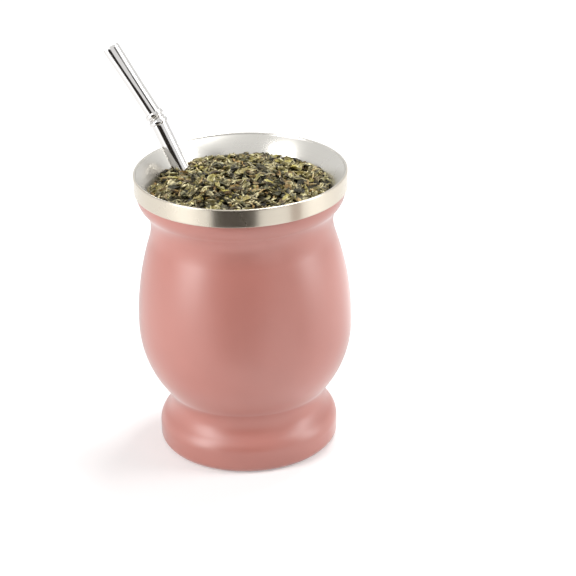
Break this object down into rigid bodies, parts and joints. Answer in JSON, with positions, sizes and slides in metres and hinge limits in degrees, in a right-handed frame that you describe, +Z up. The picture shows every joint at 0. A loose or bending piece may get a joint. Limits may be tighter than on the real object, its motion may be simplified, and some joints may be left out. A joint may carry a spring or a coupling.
{
  "type": "mate gourd drink",
  "caption": "Waisted steel mate cup with a coated outside and a bright rim band, heaped with loose green tea leaves, with a bent metal straw standing in them",
  "frame": {"origin": "centre of the flat base, on the ground, on the cup's axis", "axes": "+Z up along the cup's axis and the longest extent; the straw leans toward -X and +Y"},
  "size_m": [0.0917, 0.0816, 0.1516],
  "materials": {
    "coating": "satin dusty pink powder coat",
    "liner_steel": "brushed round the axis",
    "base_steel": "plain spun steel",
    "leaves": null,
    "straw_steel": "polished"
  },
  "bodies": {
    "root": {"outer_shell": "coating", "inner_liner": "liner_steel", "base_plate": "base_steel", "tea_leaves": "leaves", "straw_stem": "straw_steel", "straw_mouthpiece": "straw_steel", "straw_collar_lower": "straw_steel", "straw_collar_upper": "straw_steel"}
  },
  "joints": []
}
